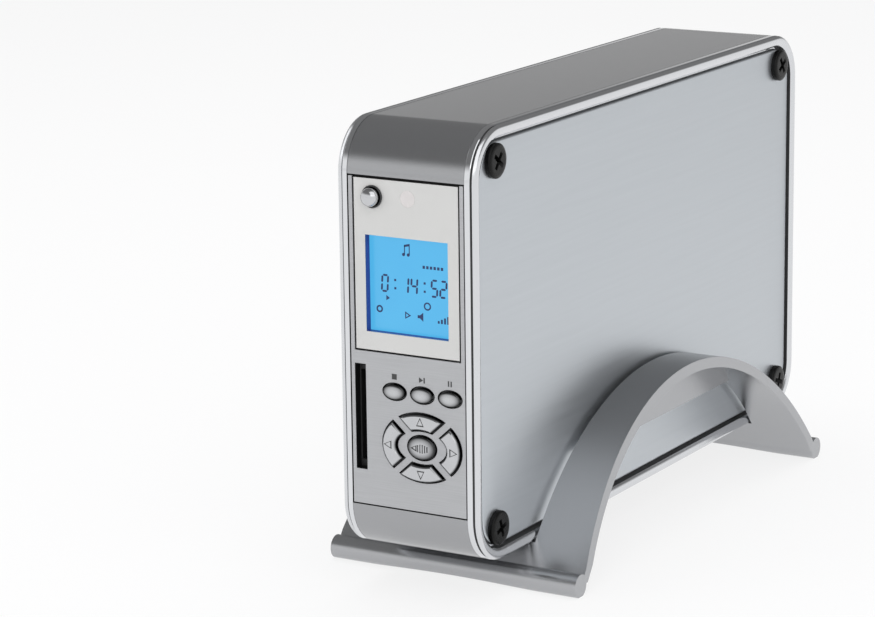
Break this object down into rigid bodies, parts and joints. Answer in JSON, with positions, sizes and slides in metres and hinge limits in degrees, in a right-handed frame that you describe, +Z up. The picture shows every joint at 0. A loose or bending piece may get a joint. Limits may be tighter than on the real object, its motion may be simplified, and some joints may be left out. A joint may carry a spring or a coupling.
{
  "type": "media player with hard drive tray",
  "caption": "Silver hard disk media player standing on edge in an arched stand, with a display, keys, a rear socket panel and a drive tray that lifts out with the top cover.",
  "frame": {"origin": "under the middle of the whole object, on the table", "axes": "+Z up, the display side faces -Y, the rear sockets face +Y, +X is to the right seen from the display side"},
  "size_m": [0.0768, 0.2104, 0.128],
  "materials": {
    "stand_metal": "satin",
    "cover_metal": "satin",
    "frame_chrome": "polished",
    "side_metal": "brushed",
    "black_screw": "satin",
    "bezel_plastic": "satin",
    "pale_plastic": "matte",
    "dark_plastic": "matte",
    "tinted_window": "satin",
    "display_glass": "clear",
    "light_box": "matte",
    "button_silver": "satin",
    "rear_plastic": "satin",
    "board_green": "satin",
    "zinc_steel": "satin",
    "nickel": "polished",
    "jack_red": "glossy",
    "jack_white": "glossy",
    "ivory_plastic": "satin",
    "sheet_steel": "satin",
    "cast_aluminium": "cast",
    "lead_plastic": "satin",
    "sink_black": "anodised"
  },
  "bodies": {
    "stand": {"stand": "stand_metal"},
    "player": {"analogue_video_socket": "dark_plastic", "board_chips": "dark_plastic", "board_headers": "lead_plastic", "board_screws": "zinc_steel", "bottom_cover": "cover_metal", "card_reader": "dark_plastic", "chassis": "sheet_steel", "digital_video_socket": "nickel", "display_glass": "display_glass", "display_light_box": "light_box", "display_plate": "pale_plastic", "front_bezel": "bezel_plastic", "front_board": "board_green", "front_board_screws": "zinc_steel", "front_lead": "lead_plastic", "heat_sink": "sink_black", "io_board": "board_green", "jack_block": "dark_plastic", "jack_sleeves": "nickel", "key_switches": "dark_plastic", "left_frame": "frame_chrome", "left_jack_inserts": "jack_white", "left_side_plate": "side_metal", "left_side_screws": "black_screw", "main_board": "board_green", "mini_usb_socket": "nickel", "power_socket": "ivory_plastic", "rear_panel": "rear_plastic", "rear_panel_screws": "black_screw", "remote_window": "tinted_window", "right_frame": "frame_chrome", "right_jack_inserts": "jack_red", "right_side_plate": "side_metal", "right_side_screws": "black_screw", "upper_posts": "zinc_steel", "usb_socket": "nickel"},
    "drive_drawer": {"top_cover": "cover_metal", "drive_tray": "sheet_steel", "tray_screws": "zinc_steel", "drive_screws": "zinc_steel", "hard_drive": "cast_aluminium", "drive_lid": "zinc_steel", "drive_board": "board_green", "drive_lead": "lead_plastic"},
    "centre_key": {"centre_button": "button_silver"},
    "down_key": {"down_button": "button_silver"},
    "left_key": {"left_button": "button_silver"},
    "next_key": {"next_button": "button_silver"},
    "pause_key": {"pause_button": "button_silver"},
    "power_key": {"power_button": "button_silver"},
    "right_key": {"right_button": "button_silver"},
    "stop_key": {"stop_button": "button_silver"},
    "up_key": {"up_button": "button_silver"}
  },
  "joints": [
    {"name": "lift_out", "type": "slide", "parent": "stand", "child": "player", "axis": [0, 0, 1], "range_m": [0, 0.045]},
    {"name": "drawer_slide", "type": "slide", "parent": "player", "child": "drive_drawer", "axis": [0, 0, 1], "range_m": [0, 0.112]},
    {"name": "centre_press", "type": "slide", "parent": "player", "child": "centre_key", "axis": [0, 1, 0], "range_m": [0, 0.0005], "stiffness_N_per_m": 800},
    {"name": "down_press", "type": "slide", "parent": "player", "child": "down_key", "axis": [0, 1, 0], "range_m": [0, 0.0005], "stiffness_N_per_m": 800},
    {"name": "left_press", "type": "slide", "parent": "player", "child": "left_key", "axis": [0, 1, 0], "range_m": [0, 0.0005], "stiffness_N_per_m": 800},
    {"name": "next_press", "type": "slide", "parent": "player", "child": "next_key", "axis": [0, 1, 0], "range_m": [0, 0.0005], "stiffness_N_per_m": 800},
    {"name": "pause_press", "type": "slide", "parent": "player", "child": "pause_key", "axis": [0, 1, 0], "range_m": [0, 0.0005], "stiffness_N_per_m": 800},
    {"name": "power_press", "type": "slide", "parent": "player", "child": "power_key", "axis": [0, 1, 0], "range_m": [0, 0.0005], "stiffness_N_per_m": 800},
    {"name": "right_press", "type": "slide", "parent": "player", "child": "right_key", "axis": [0, 1, 0], "range_m": [0, 0.0005], "stiffness_N_per_m": 800},
    {"name": "stop_press", "type": "slide", "parent": "player", "child": "stop_key", "axis": [0, 1, 0], "range_m": [0, 0.0005], "stiffness_N_per_m": 800},
    {"name": "up_press", "type": "slide", "parent": "player", "child": "up_key", "axis": [0, 1, 0], "range_m": [0, 0.0005], "stiffness_N_per_m": 800}
  ]
}
